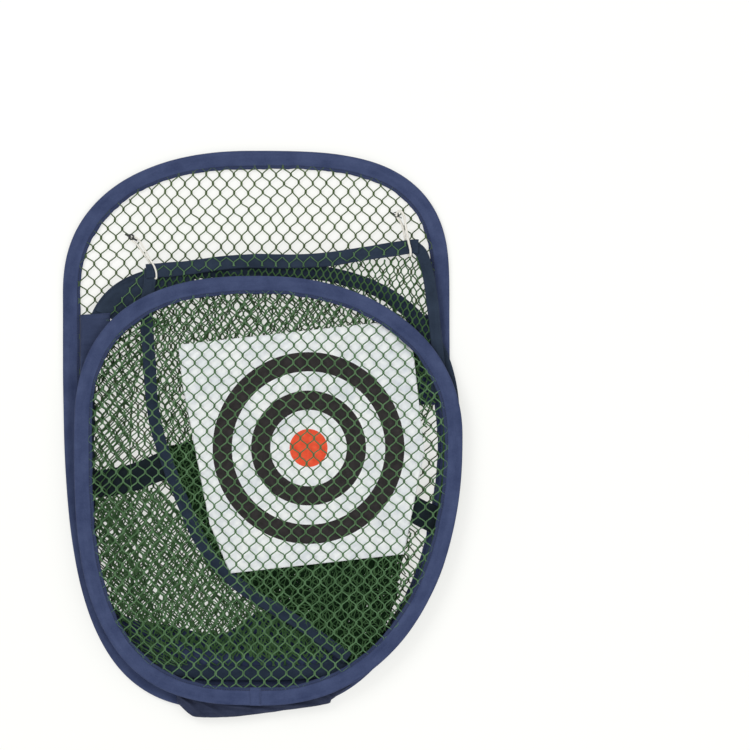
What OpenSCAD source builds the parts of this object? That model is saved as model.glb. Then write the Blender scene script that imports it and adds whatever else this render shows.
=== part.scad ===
// Folding chipping net, folded flat: a tall rear hoop and a shorter front hoop, each in a fabric sleeve
// with a net across it, a third hoop between them, and a catch pocket with a target sheet that hangs
// from two elastic loops. It lies on its back: +X is its right, +Y points to its top, +Z to its front.

/* [Rear panel] */
// Half width of the rear hoop's centreline, left of its middle
rear_left = 267; // [240:1:290]
// Half width of the rear hoop's centreline, right of its middle
rear_right = 258; // [240:1:290]
// Height of the rear hoop above its widest place
rear_top = 194; // [180:1:215]
// Height of the rear hoop below its widest place
rear_bottom = 577; // [570:1:600]
// Height of the rear hoop's widest place above the front hoop's
rear_rise = 199; // [185:1:205]
// How far the rear hoop's middle lies left of the front hoop's
rear_shift = 5; // [0:1:12]
// How far the rear hoop bows out on its right, under the front sleeve
rear_bow = 17; // [0:1:18]

/* [Front panel] */
// Half width of the front hoop's centreline, left of its middle
front_left = 254; // [240:1:270]
// Half width of the front hoop's centreline, right of its middle
front_right = 271; // [250:1:285]
// Height of the front hoop above its widest place
front_top = 214; // [195:1:225]
// Height of the front hoop below its widest place
front_bottom = 369; // [350:1:372]

/* [Third hoop] */
// Half width of the third hoop's centreline, left of its middle
third_left = 257; // [235:1:262]
// Half width of the third hoop's centreline, right of its middle
third_right = 262; // [240:1:265]
// Height of the third hoop above its widest place
third_top = 227; // [205:1:235]
// Height of the third hoop below its widest place
third_bottom = 346; // [320:1:350]
// Width of the third hoop's sleeve, laid flat
third_sleeve_w = 20; // [16:0.5:24]
// Thickness of the third hoop's sleeve
third_sleeve_t = 4.7; // [4:0.1:5]
// How far the third hoop's middle lies right of the front hoop's, and above it
third_shift = 8; // [0:1:14]

/* [Sleeves and wires] */
// Width of the rear and front sleeves, laid flat
sleeve_w = 25; // [20:0.5:28]
// Thickness of the rear and front sleeves
sleeve_t = 7; // [6.5:0.1:7.5]
// Thickness of a sleeve's fabric
cloth_t = 0.7; // [0.5:0.05:0.8]
// Thickness of the spring steel strip in each hoop
strip_t = 1.2; // [0.8:0.1:1.5]
// Room between a strip and its sleeve
strip_gap = 0.3; // [0.2:0.05:0.4]
// Length of the clip that joins a strip's two ends
clip_l = 24; // [16:1:32]
// Wall of that clip
clip_wall = 0.6; // [0.4:0.05:0.8]
// Length of the stitched overlap where the front sleeve's ends meet
overlap_l = 16; // [10:1:24]
// How far that overlap's end lies left of the front hoop's middle
overlap_shift = 8; // [0:1:20]

/* [Nets] */
// Distance between a net's gaps, across
net_pitch = 56; // [54:1:70]
// Distance between a net's rows of gaps
net_row = 46; // [45:1:56]
// Width of a net's strands
strand_w = 5; // [3:0.5:7]
// Thickness of a net
net_t = 1.4; // [1:0.1:1.6]
// Gap at a sewn edge
sew_gap = 0.2; // [0.1:0.05:0.3]
// Depth of the folded side nets
side_net_w = 72; // [50:1:90]
// How far the side nets reach below the front hoop's widest place
side_net_drop = 300; // [240:1:310]
// How far the side nets reach above it
side_net_rise = 150; // [120:1:170]

/* [Catch pocket] */
// Width of the pocket's top band
band_w = 21; // [16:0.5:24]
// Width of the pocket's side straps
strap_w = 18; // [14:0.5:20]
// Thickness of the band and the straps
band_t = 2; // [1.5:0.1:2.1]
// Distance of the band's left corner from the middle
band_left = 161; // [150:1:170]
// Distance of the band's right corner from the middle
band_right = 212; // [200:1:220]
// Height of the band's left corner above the front hoop's widest place
band_left_y = 233; // [230:1:240]
// Height of the band's right corner above its left one
band_slope = 36; // [20:1:40]
// Side of the square target sheet
target_side = 325; // [290:1:340]
// Thickness of the target sheet
target_t = 0.8; // [0.5:0.1:1]
// Turn of the target sheet, in degrees
target_turn = 6.5; // [0:0.5:8]

/* [Elastic loops and trim] */
// Diameter of the elastic cord
elastic_d = 2.4; // [2:0.1:2.6]
// How far a loop lies inward of the band's corner
loop_in = 2; // [1:0.5:4]
// Height of a knot above the band's corner
knot_up = 46; // [35:1:55]
// How far a knot lies left of the band's corner
knot_left = 24; // [15:1:30]
// Radius of a knot
knot_r = 4; // [3:0.1:5]
// Width of the fabric wall at the rear panel's left
wall_w = 46; // [30:1:60]
// Height of that wall's hem above the front hoop's widest place
wall_hem_y = 172; // [140:1:190]
// Width of the fabric wall at the rear panel's right
right_wall_w = 40; // [30:1:50]
// Height of that wall
right_wall_h = 131; // [100:1:160]
// How far the bottom wall reaches up at its left end, from the middle of the front hoop's widest place
bottom_wall_y = -230; // [-245:1:-220]
// How far it reaches up at its right end
bottom_wall_low = -330; // [-340:1:-320]
// Width of the cross band
cross_w = 24; // [18:1:30]
// Width of the bottom flap that joins the two panels
flap_w = 226; // [200:1:250]
// How far the flap's middle lies left of the front hoop's
flap_shift = 7; // [0:1:20]
// Thickness of the flap's cloth
flap_t = 1.2; // [0.8:0.1:1.6]
// How far the flap hangs below the front sleeve
flap_drop = 20; // [17:0.5:24]

/* [Hidden] */

steps = 96;      // points round a hoop
ribbon_steps = 16;

// A hoop is four quarter superellipses:
// [x, y, left, right, top, bottom, the roundness of its upper left, upper right, lower left, lower right,
// and how far it bows out on its right]
front = [0, 0, front_left, front_right, front_top, front_bottom, 2.62, 2.1, 2.92, 2.21, 0];
rear = [-rear_shift, rear_rise, rear_left, rear_right, rear_top, rear_bottom, 2.38, 3.05, 3.55, 2.72, rear_bow];
third = [third_shift, third_shift, third_left, third_right, third_top, third_bottom, 4.3, 2.48, 3.8, 2.6, 0];
bow_y = -110;     // middle of the bow
bow_half = 165;  // half its height

// Levels above the floor, from the back of the folded net to its front
gap = 0.3;
rear_net_z = 3;
wall_z = rear_net_z + net_t + gap;
third_z = sleeve_t + gap;
cross_z = third_z + third_sleeve_t + gap;
cross_t = 1.5;
pocket_z = cross_z + cross_t + 2 * gap + elastic_d / 2;
target_z = pocket_z + band_t + gap;
side_z = pocket_z + band_t + elastic_d / 2 + 2 * gap;
front_z = side_z + net_t + gap;
front_net_z = front_z + (sleeve_t - net_t) / 2;

// The object's own middle, so that the origin lies under it
flap_bottom = -front_bottom - sleeve_w / 2 - flap_drop;
low_x = rear[0] - rear_left - sleeve_w / 2;
high_x = front_right + sleeve_w / 2;
low_y = flap_bottom;
high_y = rear_rise + rear_top + sleeve_w / 2;
middle = [(low_x + high_x) / 2, (low_y + high_y) / 2];

left_corner = [-band_left, band_left_y];
right_corner = [band_right, band_left_y + band_slope];
target_centre = [66, -17];

function power(v, e) = sign(v) * pow(abs(v), e);
function on_hoop(h, t) =
    let (c = cos(t), s = sin(t))
    let (n = s > 0 ? (c < 0 ? h[6] : h[7]) : (c < 0 ? h[8] : h[9]))
    let (y = h[1] + (s > 0 ? h[4] : h[5]) * power(s, 2 / n))
    let (bow = c > 0 ? h[10] * exp(-pow((y - bow_y) / bow_half, 4)) : 0)
    [h[0] + (c < 0 ? h[2] : h[3]) * power(c, 2 / n) + bow, y];
function outward(h, t) = let (g = on_hoop(h, t + 0.5) - on_hoop(h, t - 0.5)) [g[1], -g[0]] / norm(g);
function outline(h, d) = [for (i = [0:steps - 1]) let (t = i * 360 / steps) on_hoop(h, t) + d * outward(h, t)];

// Whether a point lies inside a hoop by at least the given margin
function inside(h, p, margin) =
    let (x = p[0] - h[0], y = p[1] - h[1])
    let (n = y > 0 ? (x < 0 ? h[6] : h[7]) : (x < 0 ? h[8] : h[9]))
    let (a = (x < 0 ? h[2] : h[3]) - margin, b = (y > 0 ? h[4] : h[5]) - margin)
    pow(abs(x) / a, n) + pow(abs(y) / b, n) < 1;

function curve(p, t) =
    pow(1 - t, 3) * p[0] + 3 * t * pow(1 - t, 2) * p[1] + 3 * t * t * (1 - t) * p[2] + pow(t, 3) * p[3];
function curve_side(p, t) = let (g = curve(p, t + 0.01) - curve(p, t - 0.01)) [g[1], -g[0]] / norm(g);
function curve_edge(p, d, to) =
    [for (i = [0:ribbon_steps]) let (t = to * i / ribbon_steps) curve(p, t) + d * curve_side(p, t)];

// The straps' routes start under the band's corners
left_route = [left_corner + [0, -band_w / 2 - sew_gap], left_corner + [-14, -255],
              left_corner + [60, -409], left_corner + [287, -549]];
right_route = [right_corner + [-strap_w / 2, -band_w / 2 - sew_gap - 2], right_corner + [30, -105],
               right_corner + [28, -190], right_corner + [6, -250]];
cross_route = [[third_shift - third_left, -64], [-120, -10], [100, -30],
               [third_shift + third_right - cross_w / 2, -118]];

module place(z) {
    translate([-middle[0], -middle[1], z]) children();
}

module ring(h, outer, inner, z, t) {
    place(z) linear_extrude(t) difference() {
        polygon(outline(h, outer));
        polygon(outline(h, inner));
    }
}

// A flat fabric tube round a hoop, with the channel that the strip runs in at its outer edge
channel_w = strip_t + 2 * clip_wall + 2 * strip_gap;
function channel_mid(width) = width / 2 - cloth_t - channel_w / 2;
module sleeve(h, width, t, z) {
    difference() {
        ring(h, width / 2, -width / 2, z, t);
        ring(h, channel_mid(width) + channel_w / 2, channel_mid(width) - channel_w / 2,
             z + cloth_t, t - 2 * cloth_t);
    }
}

function strip_h(t) = t - 2 * cloth_t - 2 * strip_gap - 2 * clip_wall;
module strip(h, width, t, z) {
    m = channel_mid(width);
    ring(h, m + strip_t / 2, m - strip_t / 2, z + (t - strip_h(t)) / 2, strip_h(t));
}

// The clip is a short box tube round the strip at the hoop's lowest place
module clip(h, width, t, z) {
    m = channel_mid(width);
    free = 0.05;
    outer = strip_t / 2 + clip_wall;
    inner = strip_t / 2 + free;
    intersection() {
        difference() {
            ring(h, m + outer, m - outer, z + cloth_t + strip_gap / 2, t - 2 * cloth_t - strip_gap);
            ring(h, m + inner, m - inner, z + (t - strip_h(t)) / 2 - free, strip_h(t) + 2 * free);
        }
        place(z) translate([h[0] - clip_l / 2, h[1] - h[5] - width, 0]) cube([clip_l, 2 * width, t]);
    }
}

// One six-sided gap, taller than it is wide, with short upright sides
module mesh_gap() {
    x = (net_pitch - strand_w) / 2;
    y = net_row * 0.67 - strand_w * 0.6;
    side = net_row * 0.33 - strand_w * 0.3;
    polygon([[0, y], [x, side], [x, -side], [0, -y], [-x, -side], [-x, side]]);
}

module net(h, width, z) {
    rows = ceil((h[4] + h[5]) / net_row);
    columns = ceil((h[2] + h[3]) / net_pitch);
    place(z) linear_extrude(net_t) difference() {
        polygon(outline(h, -width / 2 - sew_gap));
        for (j = [-rows:rows], i = [-columns:columns]) {
            p = [h[0] + (i + (j % 2 == 0 ? 0 : 0.5)) * net_pitch, h[1] + j * net_row];
            if (inside(h, p, width / 2 + net_pitch / 4)) intersection() {
                translate(p) mesh_gap();
                polygon(outline(h, -width / 2 - strand_w));
            }
        }
    }
}

module ribbon(route, width, to, z, t) {
    near = curve_edge(route, width / 2, to);
    far = curve_edge(route, -width / 2, to);
    place(z) linear_extrude(t)
        polygon(concat(near, [for (i = [ribbon_steps:-1:0]) far[i]]));
}

// A closed tube along a ring of points
module closed_tube(points, d) {
    sides = 8;
    n = len(points);
    function at(i) = points[(i + n) % n];
    function along(i) = let (g = at(i + 1) - at(i - 1)) g / norm(g);
    function across(i) = let (c = cross(along(i), [0.28, 0.96, 0])) c / norm(c);
    verts = [for (i = [0:n - 1], k = [0:sides - 1])
        let (u = across(i), v = cross(along(i), u), a = k * 360 / sides)
        at(i) + d / 2 * (cos(a) * u + sin(a) * v)];
    faces = [for (i = [0:n - 1], k = [0:sides - 1], half = [0, 1])
        let (a = i * sides + k, b = i * sides + (k + 1) % sides)
        let (c = ((i + 1) % n) * sides + k, e = ((i + 1) % n) * sides + (k + 1) % sides)
        half == 0 ? [a, b, e] : [a, e, c]];
    polyhedron(verts, faces);
}

// An elastic loop goes round the band's corner and through the rear net at its knot.
// inward is 1 at the left corner and -1 at the right one
loop_edge = band_w / 2 + gap + elastic_d / 2;
loop_slack = 1;
function loop_route(corner, inward) =
    let (r = elastic_d / 2, top = pocket_z + band_t + gap + r, under = pocket_z - gap - r)
    let (knot = corner + [-knot_left, knot_up], edge = loop_edge)
    let (end = corner + [inward * loop_in, 0], low = rear_net_z + net_t + gap + r)
    [[knot[0], knot[1], low], [(knot[0] + end[0]) / 2 - 3, (knot[1] + end[1]) / 2 + 4, top],
     [end[0], end[1] + edge, top], [end[0], end[1], top], [end[0], end[1] - edge + 1, top],
     [end[0], end[1] - edge - loop_slack, (top + under) / 2], [end[0], end[1] - edge + 1, under],
     [end[0], end[1], under], [end[0] + 1, end[1] + edge, under],
     [(knot[0] + end[0]) / 2 + 3, (knot[1] + end[1]) / 2, under - 3]];
module elastic_loop(corner, inward) {
    place(0) closed_tube(loop_route(corner, inward), elastic_d);
}

module side_net(side) {
    drop = side_net_drop;
    rise = side_net_rise;
    place(side_z) linear_extrude(net_t) intersection() {
        difference() {
            polygon(outline(front, 0));
            translate([-side * side_net_w, 0]) polygon(outline(front, 0));
        }
        translate([side > 0 ? 0 : -front_left, -drop]) square([front_right, drop + rise]);
    }
}

module rear_hoop_strip() { color("silver") strip(rear, sleeve_w, sleeve_t, 0); }
module rear_hoop_clip() { color("dimgray") clip(rear, sleeve_w, sleeve_t, 0); }
module rear_sleeve() { color([0.24, 0.28, 0.42]) sleeve(rear, sleeve_w, sleeve_t, 0); }
module rear_net() { color([0.2, 0.45, 0.25]) net(rear, sleeve_w, rear_net_z); }

// The walls are fabric sewn to the rear sleeve's inner edge. The left one ends under the front sleeve
// and at the bottom one
module wall_area(from_y, h) {
    translate([-rear[2] - rear_shift, from_y]) square([rear[2] + rear[3], h]);
}

module lower_wall() {
    inner = -sleeve_w / 2 - sew_gap;
    color([0.2, 0.24, 0.38]) place(wall_z) linear_extrude(cross_t) intersection() {
        difference() {
            polygon(outline(rear, inner));
            translate([wall_w, 0]) polygon(outline(rear, inner));
            polygon(outline(front, 0));
        }
        wall_area(bottom_wall_y + sew_gap, wall_hem_y - bottom_wall_y - sew_gap);
    }
}

module right_wall() {
    inner = -sleeve_w / 2 - sew_gap;
    color([0.2, 0.24, 0.38]) place(wall_z) linear_extrude(cross_t) intersection() {
        difference() {
            polygon(outline(rear, inner));
            translate([-right_wall_w, 0]) polygon(outline(rear, inner));
        }
        wall_area(wall_hem_y - right_wall_h, right_wall_h);
    }
}

module bottom_wall() {
    inner = -sleeve_w / 2 - sew_gap;
    right = 130;
    top = [[-rear_left, bottom_wall_y], [-188, bottom_wall_y - 31], [-138, bottom_wall_y - 38],
           [-32, bottom_wall_y - 60], [right, bottom_wall_low]];
    color([0.17, 0.2, 0.33]) place(wall_z) linear_extrude(cross_t) intersection() {
        difference() {
            polygon(outline(rear, inner));
            wall_area(bottom_wall_y, rear_top + rear_bottom);
        }
        polygon(concat(top, [[right, -front_bottom], [-rear_left, -front_bottom]]));
    }
}

module third_hoop_strip() { color("silver") strip(third, third_sleeve_w, third_sleeve_t, third_z); }
module third_hoop_clip() { color("dimgray") clip(third, third_sleeve_w, third_sleeve_t, third_z); }
module third_sleeve() { color([0.16, 0.19, 0.3]) sleeve(third, third_sleeve_w, third_sleeve_t, third_z); }
module third_net() { color([0.15, 0.38, 0.2]) net(third, third_sleeve_w, third_z + gap); }
module cross_band() { color([0.16, 0.19, 0.3]) ribbon(cross_route, cross_w, 1, cross_z, cross_t); }

module front_hoop_strip() { color("silver") strip(front, sleeve_w, sleeve_t, front_z); }
module front_hoop_clip() { color("dimgray") clip(front, sleeve_w, sleeve_t, front_z); }
module front_sleeve() { color([0.26, 0.3, 0.45]) sleeve(front, sleeve_w, sleeve_t, front_z); }
module front_net() { color([0.25, 0.52, 0.3]) net(front, sleeve_w, front_net_z); }
module front_sleeve_overlap() {
    color([0.24, 0.28, 0.42]) intersection() {
        ring(front, sleeve_w / 2, -sleeve_w / 2, front_z + sleeve_t + sew_gap, cloth_t);
        place(front_z) translate([-overlap_l - overlap_shift, -front_bottom - sleeve_w, 0])
            cube([overlap_l, 2 * sleeve_w, 2 * sleeve_t]);
    }
}

// The band's area, larger by extra all round
module band_area(extra, z, t) {
    along = (right_corner - left_corner) / norm(right_corner - left_corner);
    up = [-along[1], along[0]] * (band_w / 2 + extra);
    ends = along * (band_w / 2 + extra);
    place(z) linear_extrude(t)
        polygon([left_corner - ends - up, right_corner + ends - up,
                 right_corner + ends + up, left_corner - ends + up]);
}

module top_band() { color([0.15, 0.19, 0.28]) band_area(0, pocket_z, band_t); }

// A strap ends at the band, with a notch that the elastic loop passes through
module strap(route, corner, inward) {
    half = elastic_d / 2 + gap;
    low = loop_edge + loop_slack + half;
    difference() {
        ribbon(route, strap_w, 1, pocket_z, band_t);
        band_area(sew_gap, pocket_z - band_t, 3 * band_t);
        place(pocket_z - band_t) translate(corner + [inward * loop_in - half, -low])
            cube([2 * half, low, 3 * band_t]);
    }
}

module left_strap() { color([0.15, 0.19, 0.28]) strap(left_route, left_corner, 1); }
module right_strap() { color([0.15, 0.19, 0.28]) strap(right_route, right_corner, -1); }

// The pocket's net fills the space between the band and the straps
module pocket_net() {
    reach = 0.72;
    below = sew_gap + elastic_d + loop_slack + 2 * gap;
    left_edge = curve_edge(left_route, 0, reach);
    right_edge = curve_edge(right_route, 0, 1);
    z = pocket_z + gap;
    color([0.13, 0.35, 0.18]) difference() {
        place(z) linear_extrude(net_t) polygon(concat([for (i = [1:ribbon_steps]) left_edge[i]],
                                                      [for (i = [ribbon_steps:-1:1]) right_edge[i]]));
        band_area(below, z - net_t, 3 * net_t);
        ribbon(left_route, strap_w + 2 * sew_gap, 1, z - net_t, 3 * net_t);
        ribbon(right_route, strap_w + 2 * sew_gap, 1, z - net_t, 3 * net_t);
    }
}

module target_sheet() {
    color("white") place(target_z) linear_extrude(target_t) translate(target_centre) rotate(target_turn)
        square(target_side, center = true);
}

module elastic_loop_left() { color("ivory") elastic_loop(left_corner, 1); }
module elastic_loop_right() { color("ivory") elastic_loop(right_corner, -1); }
module loop_knots() {
    h = 3;
    left = knot_left + knot_r + elastic_d / 2 + gap;
    for (corner = [left_corner, right_corner])
        color("black") place(rear_net_z + net_t + gap) translate(corner + [-left, knot_up])
            cylinder(r = knot_r, h = h, $fn = 24);
}

module left_side_net() { color([0.15, 0.4, 0.2]) side_net(-1); }
module right_side_net() { color([0.15, 0.4, 0.2]) side_net(1); }

// The flap is one piece of cloth, folded at the bottom: its back lies on the rear sleeve, and its
// front runs under the front sleeve
module bottom_flap() {
    t = flap_t;
    side = 1;
    top = -front_bottom + sleeve_w / 4;
    low = sleeve_t + gap;
    high = front_z - gap;
    color([0.2, 0.23, 0.35]) place(0) difference() {
        translate([-flap_w / 2 - flap_shift, flap_bottom, low]) cube([flap_w, top - flap_bottom, high - low]);
        translate([-flap_w / 2 - flap_shift - side, flap_bottom + t, low + t])
            cube([flap_w + 2 * side, top - flap_bottom, high - low - 2 * t]);
    }
}

rear_hoop_strip();
rear_hoop_clip();
rear_sleeve();
rear_net();
lower_wall();
right_wall();
bottom_wall();
third_hoop_strip();
third_hoop_clip();
third_sleeve();
third_net();
cross_band();
front_hoop_strip();
front_hoop_clip();
front_sleeve();
front_sleeve_overlap();
front_net();
top_band();
left_strap();
right_strap();
pocket_net();
target_sheet();
elastic_loop_left();
elastic_loop_right();
loop_knots();
left_side_net();
right_side_net();
bottom_flap();
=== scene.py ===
# %% [markdown]
# # A folding chipping net, folded flat
# The net is three sprung hoops in fabric sleeves, with green knotless mesh stretched over them, a
# catch pocket edged with navy tape, and a white cloth target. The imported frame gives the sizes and
# the bodies that move. Every piece below is cloth, mesh or cord, so every one is made here and
# stands for its plain solid. Sizes are written in millimetres, as a maker would, and `mm` turns
# them into Blender's metres.

import math

import bmesh
import bpy
from mathutils import Matrix, Vector, noise


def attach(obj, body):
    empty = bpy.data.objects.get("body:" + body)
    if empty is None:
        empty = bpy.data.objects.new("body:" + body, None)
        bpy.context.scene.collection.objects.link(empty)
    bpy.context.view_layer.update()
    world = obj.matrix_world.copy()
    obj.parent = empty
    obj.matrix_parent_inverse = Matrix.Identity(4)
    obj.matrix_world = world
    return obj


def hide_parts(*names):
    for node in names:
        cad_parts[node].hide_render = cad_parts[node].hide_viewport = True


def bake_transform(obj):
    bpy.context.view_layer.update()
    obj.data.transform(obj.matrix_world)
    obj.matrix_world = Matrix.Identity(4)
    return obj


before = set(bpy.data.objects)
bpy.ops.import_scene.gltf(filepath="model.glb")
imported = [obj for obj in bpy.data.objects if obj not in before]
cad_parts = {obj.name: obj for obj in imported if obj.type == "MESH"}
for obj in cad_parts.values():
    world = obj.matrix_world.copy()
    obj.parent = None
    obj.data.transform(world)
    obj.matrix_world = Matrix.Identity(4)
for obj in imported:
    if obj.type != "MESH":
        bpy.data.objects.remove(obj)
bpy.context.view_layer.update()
MM = 0.001


def mm(*values):
    return tuple(v * MM for v in values)


# %% [markdown]
# ## The camera and the lamps
# The net is seen from straight above, from far enough away that its layers hardly shift against
# each other. Soft lamps on both sides keep the cloth's own colours.

# %% Camera and lamps
PICTURE_SIDE, MM_A_PIXEL = 750, 1.42
VIEW_WIDTH = PICTURE_SIDE * MM_A_PIXEL
CAMERA_HEIGHT = 4200
CAMERA_AT = (160.4, 84.5)
SENSOR = 36

camera = bpy.data.objects.new("camera", bpy.data.cameras.new("camera"))
camera.data.sensor_width = SENSOR
camera.data.lens = SENSOR * CAMERA_HEIGHT / VIEW_WIDTH
camera.location = mm(*CAMERA_AT, CAMERA_HEIGHT + 20)
camera.data.clip_end = 50
bpy.context.collection.objects.link(camera)
bpy.context.scene.camera = camera
bpy.context.scene.view_settings.view_transform = "Standard"


def lamp(name, place, size, watts):
    data = bpy.data.lights.new(name, "AREA")
    data.size = size
    data.energy = watts
    thing = bpy.data.objects.new(name, data)
    thing.location = place
    thing.rotation_euler = (-Vector(place)).to_track_quat("-Z", "Y").to_euler()
    bpy.context.collection.objects.link(thing)


lamp("key", (-1.6, 1.7, 2.6), 1.6, 46)
lamp("fill", (2.0, 0.6, 2.4), 2.2, 25)
lamp("low", (0.2, -2.2, 1.8), 2.0, 18)
print("camera lens:", round(camera.data.lens, 1), "mm")

# %% [markdown]
# ## Shader maths as expressions
# A `Value` wraps a socket, so that a pattern is written as a formula. `Shader` makes one material
# and holds the only method that adds nodes.


# %% Shader helpers
class Value:
    def __init__(self, shader, socket):
        self.shader, self.socket = shader, socket

    def math(self, how, *others):
        ends = [self.socket] + [o.socket if isinstance(o, Value) else o for o in others]
        return self.shader.add("ShaderNodeMath", {"operation": how}, dict(enumerate(ends)))

    def __add__(self, other):
        return self.math("ADD", other)

    def __sub__(self, other):
        return self.math("SUBTRACT", other)

    def __rsub__(self, other):
        return (self * -1) + other

    def __mul__(self, other):
        return self.math("MULTIPLY", other)

    def wave(self):
        return self.math("SINE") * 0.5 + 0.5

    def above(self, edge):
        return self.math("GREATER_THAN", edge)

    def clamped(self):
        return self.shader.add("ShaderNodeClamp", {}, {"Value": self.socket})


class Shader:
    def __init__(self, name):
        self.material = bpy.data.materials.new(name)
        self.material.use_nodes = True
        self.nodes = self.material.node_tree.nodes
        self.links = self.material.node_tree.links
        self.surface = self.nodes["Principled BSDF"]
        self.place = self.add("ShaderNodeTexCoord", {}, {}, "Object")
        self.cut = self.add("ShaderNodeTexCoord", {}, {}, "UV")

    def add(self, kind, settings, ends, out=0):
        node = self.nodes.new(kind)
        for key, value in settings.items():
            if key == "stops":
                ramp = node.color_ramp
                ramp.elements[0].position, ramp.elements[1].position = value[0][0], value[-1][0]
                for at, colour in value[1:-1]:
                    ramp.elements.new(at)
                for stop, (at, colour) in zip(ramp.elements, value):
                    stop.color = (*colour, 1)
            else:
                setattr(node, key, value)
        for key, value in ends.items():
            end = value.socket if isinstance(value, Value) else value
            if isinstance(end, bpy.types.NodeSocket):
                self.links.new(end, node.inputs[key])
            elif end is not None:
                node.inputs[key].default_value = end
        return Value(self, node.outputs[out])

    def axis(self, where, k):
        return self.add("ShaderNodeSeparateXYZ", {}, {0: where}, k)

    def noise(self, where, scale, detail=3, roughness=0.55):
        ends = {"Vector": where, "Scale": scale, "Detail": detail, "Roughness": roughness}
        return self.add("ShaderNodeTexNoise", {}, ends)

    def ramp(self, value, *stops):
        return self.add("ShaderNodeValToRGB", {"stops": stops}, {0: value})

    def mix(self, amount, a, b):
        first, second = (c if isinstance(c, Value) else (*c, 1) for c in (a, b))
        return self.add("ShaderNodeMix", {"data_type": "RGBA"}, {0: amount, 6: first, 7: second}, 2)

    def set(self, **ends):
        for key, value in ends.items():
            socket = self.surface.inputs[key.replace("_", " ")]
            if isinstance(value, Value):
                self.links.new(value.socket, socket)
            else:
                socket.default_value = value

    def bump(self, height, strength, distance):
        ends = {"Height": height, "Strength": strength, "Distance": distance}
        self.set(Normal=self.add("ShaderNodeBump", {}, ends))


# %% [markdown]
# ## Materials
# The sleeves and tapes are a plain-woven polyester: its threads are half a millimetre apart, which
# only shows close up. From further away show soft creases, darkened with painted shade, and slightly
# paler high spots of painted light. The weave follows the cloth, so it reads the UV map, which is in
# metres along and across each strip.


# %% Woven cloth
def woven(name, dark, light, thread=0.55, sheen=0.06, crease=0.9, hem=0.0):
    s = Shader(name)
    u, v = s.axis(s.cut, 0), s.axis(s.cut, 1)
    turn = 2 * math.pi / (thread * MM)
    over = (u * turn).wave() * (v * turn).wave()
    under = (u * turn + math.pi).wave() * (v * turn + math.pi).wave()
    weave = over + under
    folds = s.noise(s.place, 38, 4)
    fine = s.noise(s.place, 420, 2)
    pulled = s.add("ShaderNodeCombineXYZ", {}, {0: u * 14, 1: v * 150})
    crease_relief_and_shade = s.noise(pulled, 1.0, 3)
    # Painted shade and light: the colour is darker in the folds and lengthwise creases and paler on
    # their high spots, over the weave and a fine random tone.
    shade = folds * 0.45 + crease_relief_and_shade * 0.3 + fine * 0.17 + weave * 0.08
    colour = s.ramp(shade, (0.3, dark), (0.72, light))
    # Painted shade: the inner hem is darkened, and a darker line is painted along the stitch line where
    # the cloth is pinched.
    if hem:
        inner = 1 - (v.math("ABSOLUTE") * (1 / (hem * MM))).math("POWER", 8).clamped()
        stitch_line_shade = 1 - ((v.math("ABSOLUTE") - hem * MM) * (1 / (1.1 * MM))).math("ABSOLUTE").clamped()
        hem_shade_colour = tuple(c * 0.5 for c in dark)
        colour = s.mix((inner * 0.5 + stitch_line_shade * 0.75).clamped(), colour, hem_shade_colour)
    s.set(Base_Color=colour, Roughness=s.noise(s.place, 90) * 0.2 + 0.66)
    s.set(**{"Sheen Weight": sheen, "Sheen Roughness": 0.45, "Specular IOR Level": 0.12})
    s.bump(folds * crease + crease_relief_and_shade * 0.5 + weave * 0.12 + fine * 0.08, 0.6, 0.0012)
    return s.material


# How far the hem's painted shade reaches from the sleeve's inner edge, in mm, with its dark stitch line
# there.
HEM = 6.7
SLEEVE_CLOTH = woven("sleeve_cloth", (0.021, 0.032, 0.084), (0.061, 0.082, 0.170), hem=HEM)
WALL_CLOTH = woven("wall_cloth", (0.018, 0.027, 0.064), (0.042, 0.058, 0.118), crease=1.4)
BAND_CLOTH = woven("band_cloth", (0.009, 0.016, 0.030), (0.028, 0.043, 0.072), thread=0.8, sheen=0.03)
DARK_CLOTH = woven("dark_cloth", (0.003, 0.007, 0.009), (0.010, 0.017, 0.023), thread=0.8, sheen=0.0)
FLAP_CLOTH = woven("flap_cloth", (0.010, 0.014, 0.032), (0.038, 0.048, 0.092), crease=1.8)
print("cloths:", *(m.name for m in (SLEEVE_CLOTH, WALL_CLOTH, BAND_CLOTH, DARK_CLOTH, FLAP_CLOTH)))

# %% [markdown]
# The mesh is twisted polyester twine. It is dull, its colour wanders a little from strand to
# strand, and its twist is a fine slanting ripple.


# %% Net twine
def twine(name, dark, light, shine=0.12):
    s = Shader(name)
    x, y, z = (s.axis(s.place, k) for k in range(3))
    twist = ((x + y * 0.6 + z) * (2 * math.pi / 0.0011)).wave()
    shade = s.noise(s.place, 60, 2) * 0.6 + s.noise(s.place, 700, 1) * 0.25 + twist * 0.15
    s.set(Base_Color=s.ramp(shade, (0.3, dark), (0.7, light)), Roughness=0.72)
    s.set(**{"Specular IOR Level": shine})
    s.bump(twist, 0.4, 0.0003)
    return s.material


# These are one green twine, lit and shaded: the front net's copy is the brightest, and the rear net's
# and the inner slack nets' copies are darker with painted shade.
NET_FRONT_LIT = twine("net_front_lit", (0.050, 0.110, 0.046), (0.125, 0.240, 0.115))
NET_BACK_SHADED = twine("net_back_shaded", (0.045, 0.080, 0.028), (0.105, 0.160, 0.062))
NET_DEEP_SHADED = twine("net_deep_shaded", (0.020, 0.058, 0.020), (0.075, 0.155, 0.062))
# Near-black copy of the twine: painted shade for the darkness deep in the bunched bag.
NET_PAINTED_SHADE = twine("net_painted_shade", (0.002, 0.008, 0.003), (0.008, 0.024, 0.008), 0.03)
print("twines:", *(m.name for m in (NET_FRONT_LIT, NET_BACK_SHADED, NET_DEEP_SHADED, NET_PAINTED_SHADE)))

# %% [markdown]
# The target is printed on white cloth: an orange middle and two black rings, all the same width.
# The rings are worked out from the distance to the middle of the cut cloth, so they bend with it.

# %% Target print, elastic and thread
RING = 27.3


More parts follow.
